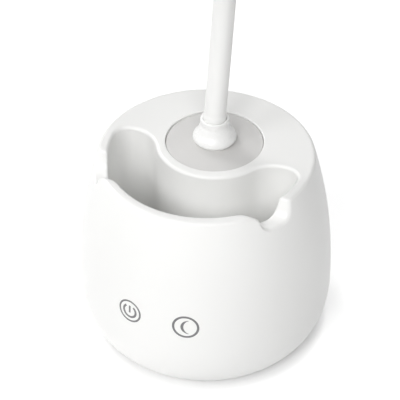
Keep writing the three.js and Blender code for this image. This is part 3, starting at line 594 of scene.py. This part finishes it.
def slotOutline(width, height, steps=16):
    r = height / 2
    side = width / 2 - r
    return arc((side, 0), r, 0, pi, steps) + arc((-side, 0), r, pi, 2 * pi, steps)


def portCutter():
    z = port["boardTop"] + gap + port["height"] / 2
    wide, high = port["width"] + 2 * gap, port["height"] + 2 * gap
    rings = [(port["inside"], 0)]
    rings += [(sideRadius(z) - inside, wider) for inside, wider in lipSteps(port["edge"], port["edgeSteps"])]
    rings += [(port["outside"], port["edge"])]
    return loftedPiece("cutter", [[(x, y, z + v) for x, v in slotOutline(wide + 2 * grow, high + 2 * grow)]
                                  for y, grow in rings])


outer = barrelOutline(footSteps=26, sideSteps=36, edgeSteps=10)
lampBase = turnedPiece("lamp_base", [(0, barrel["footClear"])] + outer + [(0, top)], barrel["segments"])
combine(lampBase, "DIFFERENCE", hollowCutter())
well = prism("well", pocketOutline(pocket["wall"]), pocket["floor"] - pocket["wall"], top - underDeck["well"])
cup = rod("cup", bossRadius - pocket["wall"] / 2, top - night["cupDepth"] - night["cupFloor"],
          top - underDeck["cup"], *nightCentre, 96)
combine(lampBase, "UNION", well, cup, notchSaddle())
addPosts(lampBase)
cupRoom = rod("cutter", night["cupRadius"], top - night["cupDepth"], top + overrun, *nightCentre, 96)
neckBore = rod("cutter", barrel["neckBore"], top - barrel["boreDepth"], top, *nightCentre, 32)
combine(lampBase, "DIFFERENCE", pocketCutter(), notchCutter(1), notchCutter(-1), nightCutter(), cupRoom,
        neckBore, portCutter())
smoothed(lampBase, 40)
finished(lampBase, "base", "shell", shellWhite, "base_shell")
print("base moulded:", len(lampBase.data.polygons), "faces")

# the neck's sizes, which the disc and the collars take their holes from; leans are in degrees from upright
neck = dict(radius=5.4, link=38, pastBall=0.2, leans=(-11, -10.5, -9, -3.5, 8, 28, 52, 76, 96), segments=64,
            steps=14)
hole = neck["radius"] + gap
rimTop = top - night["sink"]


def domeHeight(r):
    return rimTop + night["rise"] * (1 - (r / night["radius"]) ** 2)


def discHeight(r):              # flatter than the solid, which the collar's foot makes up for
    return rimTop + night["seenRise"] * (1 - (r / night["radius"]) ** 2)


# the night light's disc
discRadius = nightOpening - night["seenGap"]
flatRadii = [hole + (discRadius - night["edge"] - hole) * k / 24 for k in range(25)]
profile = [(r, discHeight(r)) for r in flatRadii]
edgeTop = profile[-1][1]
lips = reversed(lipSteps(night["edge"], night["edgeSteps"]))
profile += [(discRadius - wider, edgeTop - inside) for inside, wider in lips][1:]
profile += [(discRadius, rimTop - night["thickness"]), (hole, discHeight(hole) - night["thickness"])]
nightDisc = turnedPiece("night_light_disc", profile, night["segments"], closed=True, place=atNight)
finished(smoothed(nightDisc, 40), "base", "diffuser", diffuserGrey, "night_light_diffuser")

# the collar at the neck's foot, and the one at the head; skirt points are (share out, share up)
collar = dict(flange=10.8, headFlange=8.9, ring=7.05, ringHeight=3.4, ringEdge=0.7, ringSteps=8, height=12.2,
              mouth=5.92, mouthDrop=0.1, ball=5.75, seatGap=0.12, crease=0.25, seatStep=0.4, bowlRim=3,
              footLift=0.04, segments=128, footOut=0.58,
              skirt=((0.93, 0.03), (1, 0.11), (0.96, 0.21), (0.87, 0.3), (0.72, 0.4), (0.55, 0.5),
                     (0.39, 0.6), (0.25, 0.72), (0.12, 0.85), (0, 1)))
collarFoot = domeHeight(hole) + gap
neckFoot = collarFoot + collar["height"] + gap


def collarProfile(flange, under, seated):
    # under gives the height of what the foot stands on, and a seated collar's mouth narrows to a seat round
    # the ball end of the sleeve, where the other has a plain bowl
    ring, height = collar["ring"], collar["height"]
    foot = ring + (flange - ring) * collar["footOut"]
    rise = height - collar["ringHeight"]
    skirt = [(foot, under(foot))] + [(ring + (flange - ring) * out, rise * up) for out, up in collar["skirt"]]
    lips = lipSteps(collar["ringEdge"], collar["ringSteps"])
    rim = [(ring - wider, height - inside) for inside, wider in lips]
    mouth = [(collar["mouth"], height - collar["mouthDrop"])]
    if seated:
        ball = collar["ball"] + collar["seatGap"]
        depths = [gap + collar["crease"] + collar["seatStep"] * k for k in range(7)]
        mouth += [(sqrt(ball ** 2 - depth ** 2), height + gap - depth) for depth in depths]
    else:
        mouth += [(collar["mouth"], height - collar["bowlRim"]), (hole, height - collar["bowlRim"])]
    return [(hole, under(hole))] + spline(skirt, 5) + rim + mouth


def discUnder(r):
    return discHeight(r) + collar["footLift"] - collarFoot


bell = [(r, collarFoot + z) for r, z in collarProfile(collar["flange"], discUnder, True)]
neckCollar = turnedPiece("neck_collar_bell", bell, collar["segments"], closed=True, place=atNight)
finished(smoothed(neckCollar, 50), "base", "collar", collarWhite, "neck_collar")
print("night light and collar made")

# the gooseneck's sleeve: the first piece rides the first link, and each other one spans a joint, lofted along
# the neck's rest curve
centres = [(night["setBack"], neckFoot, radians(neck["leans"][0]))]
for lean in neck["leans"][1:]:
    y, z, before = centres[-1]
    bend = radians(lean) - before
    chord = 2 * neck["link"] * sin(bend / 2) / bend if abs(bend) > 1e-9 else neck["link"]
    centres.append((y - chord * sin(before + bend / 2), z + chord * cos(before + bend / 2), radians(lean)))


def onNeck(link, run):
    # point and lean of the neck's centre line, run past the centre that begins the link
    y, z, lean = centres[link]
    bend = (centres[link + 1][2] - lean) if link + 1 < len(centres) else 0
    turn = bend * run / neck["link"]
    chord = 2 * run * sin(turn / 2) / turn if abs(turn) > 1e-9 else run
    return Vector((0, y - chord * sin(lean + turn / 2), z + chord * cos(lean + turn / 2))), lean + turn


def neckRing(centre, lean, radius):
    up = Vector((0, cos(lean), sin(lean)))
    out = Vector((1, 0, 0))
    angles = [2 * pi * k / neck["segments"] for k in range(neck["segments"])]
    return [centre + (out * cos(a) + up * sin(a)) * radius for a in angles]


def ballRings(steps):
    # the ball end in the collar's mouth, up to where the sleeve leaves it
    foot, lean = onNeck(0, 0)
    along = Vector((0, -sin(lean), cos(lean)))
    ball = collar["ball"]
    meets = asin(neck["radius"] / ball)
    angles = [(pi - meets) * s / steps for s in range(1, steps + 1)]
    return [neckRing(foot - along * ball * cos(a), lean, ball * sin(a)) for a in angles]


def tubeRings(link, begin, end, steps):
    runs = [begin + (end - begin) * s / steps for s in range(steps + 1)]
    return [neckRing(*onNeck(link, run), neck["radius"]) for run in runs]


half, steps = neck["link"] / 2, neck["steps"]
ballLeft = sqrt(collar["ball"] ** 2 - neck["radius"] ** 2) + neck["pastBall"]
sleeve = smoothed(loftedPiece("neck_sleeve_1", ballRings(22) + tubeRings(0, ballLeft, half, steps)), 50)
finished(sleeve, "neck_1", "sleeve", sleeveWhite, "neck_link_1")
for k in range(1, len(centres)):
    last = k + 1 == len(centres)
    reach = collar["bowlRim"] if last else half
    rings = tubeRings(k - 1, half, 2 * half, steps)[:-1] + tubeRings(k, 0, reach, 4 if last else steps)
    sleeve = smoothed(loftedPiece(f"neck_sleeve_{k + 1}", rings), 50)
    stands = () if last else (f"neck_link_{k + 1}",)
    finished(sleeve, None, "sleeve", sleeveWhite, *stands)
    begin, end = onNeck(k - 1, half)[0], onNeck(k, reach)[0]
    tuple(end * mm)
    tuple(begin * mm)
    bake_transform(sleeve)
print("neck sleeved")

# the lamp head: a flat dome whose stem swells into it from the neck
head = dict(radius=46, top=9.2, waistDrop=2.5, rimDrop=9.2, rimEdge=0.3, mouth=44.6, wall=2, stem=3.2,
            fairing=26, seat=1.5, seatPlay=0.5, seatHeight=1.7, lens=2.1, lensInset=0.4, lensEdge=0.8,
            power=2.6, boreRadius=4.3, boreEnd=40, segments=192)
lastY, lastZ, lastLean = centres[-1]
atHead = Matrix.Translation((0, lastY, lastZ)) @ Matrix.Rotation(lastLean - pi / 2, 4, "X")
alongNeck = Matrix.Rotation(pi / 2, 4, "X")
collarEnd = -gap - collar["height"]
headAxis = -(head["radius"] + head["stem"] + gap - collarEnd)
atDome = atHead @ Matrix.Translation((0, headAxis, 0))
atStem = atHead @ Matrix.Translation((0, collarEnd - gap, 0)) @ alongNeck
rim, mouth = -head["rimDrop"], head["mouth"]
lensFace = head["lensInset"] - head["rimDrop"]


def domeOutline(inset, steps):
    # a squarish quarter oval, from the waist up to the middle of the top
    share = 2 / head["power"]
    high = head["top"] - inset + head["waistDrop"]
    angles = [pi / 2 * k / steps for k in range(steps)]
    curve = [((head["radius"] - inset) * cos(a) ** share, high * sin(a) ** share - head["waistDrop"])
             for a in angles]
    return curve + [(0, high - head["waistDrop"])]


def stemProfile(steps):
    # straight out of the collar, then a long oval that ends under the dome
    swell, straight = collar["headFlange"], head["stem"] + head["wall"]
    angles = [pi / 2 * k / steps for k in range(steps)]
    oval = [(swell * cos(a), straight + head["fairing"] * sin(a)) for a in angles]
    return [(0, 0), (swell, 0)] + oval + [(0, straight + head["fairing"])]


def headRoom():
    # the room for the light board, over the seats of the board and the lens
    seatTop = head["lensInset"] + head["lens"] + gap - head["rimDrop"]
    throat = mouth - head["seat"]
    wide, narrow, step = throat + head["seatPlay"], throat - head["seat"], head["seatHeight"]
    seats = [(0, rim - overrun), (wide, rim - overrun), (wide, seatTop), (narrow, seatTop),
             (narrow, seatTop + step), (head["radius"] - head["wall"], seatTop + 2 * step)]
    return turnedPiece("cutter", seats + domeOutline(head["wall"], 20), 128, place=atDome)


edge, bore, boreEnd = head["rimEdge"], head["boreRadius"], head["boreEnd"]
skin = [(0, rim), (mouth - edge, rim), (mouth, rim + edge)] + domeOutline(0, 40)
headShell = turnedPiece("head_dome", skin, head["segments"], place=atDome)
combine(headShell, "UNION", turnedPiece("stem", stemProfile(24), 96, place=atStem))
neckRoom = [(0, 0), (bore, 0), (bore, boreEnd), (0, boreEnd)]
combine(headShell, "DIFFERENCE", headRoom(), turnedPiece("cutter", neckRoom, 32, place=atHead @ alongNeck))
finished(smoothed(headShell, 34), "head", "shell", shellWhite, "head_shell")

lensRadius = mouth - head["wall"] / 2 - gap
lensTop = lensFace + head["lens"]
face = [((lensRadius - head["lensEdge"]) * k / 30, lensFace) for k in range(31)]
lips = reversed(lipSteps(head["lensEdge"], 5))
face += [(lensRadius - wider, lensFace + inside) for inside, wider in lips][1:]
face += [(lensRadius, lensTop), (0, lensTop)]
headLens = turnedPiece("head_lens", face, head["segments"], place=atDome)
finished(smoothed(headLens, 40), "head", "lens", opal, "head_diffuser")

bell = [(r, -collarEnd - z) for r, z in collarProfile(collar["headFlange"], lambda r: 0, False)]
headCollar = turnedPiece("head_collar_bell", bell, collar["segments"], closed=True, place=atHead @ alongNeck)
finished(smoothed(headCollar, 50), "head", "collar", collarWhite, "head_collar")

# the steel stud that joins the head to the neck
stud = dict(radius=4, inCollar=8, reach=26.8, edge=0.4)
low, high, wide = -collarEnd - stud["inCollar"], stud["reach"], stud["radius"]
pin = [(0, low), (wide, low), (wide, high - stud["edge"]), (wide - stud["edge"], high), (0, high)]
headStud = turnedPiece("head_stud", pin, 48, place=atHead @ alongNeck)
finished(smoothed(headStud, 40), "head", "steel", brightSteel, "head_root")
print("head made")

# the foot pad
pad = dict(thickness=1.2, edge=0.4)
padRadius = coverRadius - cover["padInset"]
sole = [(padRadius * k / 12, 0) for k in range(12)]
sole += [(padRadius - wider, inside) for inside, wider in reversed(lipSteps(pad["edge"], 4))]
sole += [(padRadius, pad["thickness"]), (0, pad["thickness"])]
finished(smoothed(turnedPiece("foot_pad", sole, 160), 40), "base", "rubber", blackRubber, "anti_slip_pad")

# the touch signs, printed on the side; a spot is the angle from the front and the height
powerSign = dict(spot=(-13.1, 47.3), ring=6.0, line=0.95, bowOuter=4.1, bowInner=2.95, openAngle=36,
                 bar=0.5, barFrom=-0.9, barTo=3.3)
moonSign = dict(spot=(13.65, 47.2), ring=6.1, line=1.15, outer=4.1, inner=4.35, shift=1.65, aside=1.6)
inkLift = 0.03


def onSide(spot, u, v):
    # u along the side and v up it, from the spot
    z = spot[1] + v
    r = sideRadius(z) + inkLift
    a = radians(spot[0]) + u / sideRadius(spot[1])
    return r * sin(a), -r * cos(a), z


def printed(name, spot, strips):
    # each strip is two matching rows of points, on either side of a line
    points, faces = [], []
    for left, right in strips:
        base, n = len(points), len(left)
        points += [onSide(spot, *p) for p in left + right]
        faces += [(base + k, base + k + 1, base + n + k + 1, base + n + k) for k in range(n - 1)]
    finished(smoothed(newPiece(name, points, faces), 60), "base", None, greyPrint)


def bow(radius, start, end, steps, x=0.0):
    angles = [radians(start + (end - start) * k / steps) for k in range(steps + 1)]
    return [(x + radius * sin(a), radius * cos(a)) for a in angles]


def ringBand(sign):
    return [bow(sign["ring"] + side * sign["line"] / 2, 0, 360, 96) for side in (1, -1)]


def crescent(outer, inner, shift, aside):
    # two bows that meet in their tips, the inner one shifted to the open side
    tip = (shift ** 2 - inner ** 2 + outer ** 2) / (2 * shift)
    near, far = degrees(asin(tip / outer)), degrees(asin((tip - shift) / inner))
    return bow(outer, 180 - near, 360 + near, 40, aside), bow(inner, 180 - far, 360 + far, 40, aside + shift)


openAngle, bar = powerSign["openAngle"], powerSign["bar"]
openBow = [bow(powerSign[side], openAngle, 360 - openAngle, 60) for side in ("bowOuter", "bowInner")]
upright = [[(x, powerSign["barFrom"]), (x, powerSign["barTo"])] for x in (-bar, bar)]
printed("power_sign", powerSign["spot"], [ringBand(powerSign), openBow, upright])
moon = crescent(moonSign["outer"], moonSign["inner"], moonSign["shift"], moonSign["aside"])
printed("moon_sign", moonSign["spot"], [ringBand(moonSign), moon])
print("foot pad and signs made")

# finishes on the solids that stay
kept = {"bottom_cover": darkNylon, "battery_cradle": darkNylon, "ballast_plate": castIron,
        "battery_cell": cellBlue, "main_board": greenBoard, "night_light_board": lightBoard,
        "head_led_board": lightBoard, "touch_pad_power": copper, "touch_pad_night": copper}
for name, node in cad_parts.items():
    node.data.materials.clear()
    node.data.materials.append(kept.get(name, brightSteel))
print("finishes set on the solids")
